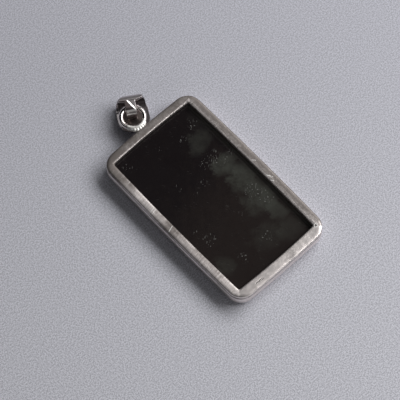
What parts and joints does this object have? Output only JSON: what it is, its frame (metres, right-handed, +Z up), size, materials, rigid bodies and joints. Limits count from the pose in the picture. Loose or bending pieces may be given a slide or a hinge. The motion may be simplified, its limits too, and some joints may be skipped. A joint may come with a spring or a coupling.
{
  "type": "labradorite pendant",
  "caption": "Rectangular stone pendant in an open-backed silver bezel frame, with a soldered wire eye and a swinging folded strip bail.",
  "frame": {"origin": "under the middle of the window, on the stone's flat front and the surface that it lies on", "axes": "+Z up out of the open back, +Y along the frame towards the eye and the bail, +X across"},
  "size_m": [0.0241, 0.0489, 0.0048],
  "materials": {
    "setting_silver": "satin silver, filed by hand, with polished edges and solder",
    "stone": "polished dark labradorite with cloudy patches",
    "bail_silver": "polished silver strip"
  },
  "bodies": {
    "pendant": {"setting": "setting_silver", "stone": "stone"},
    "bail": {"bail": "bail_silver"}
  },
  "joints": [
    {"name": "bail_swing", "type": "hinge", "parent": "pendant", "child": "bail", "pos_m": [0.00088, 0.02488, 0.00348], "axis": [0.848, -0.5299, 0], "range_deg": [0, 100]}
  ]
}
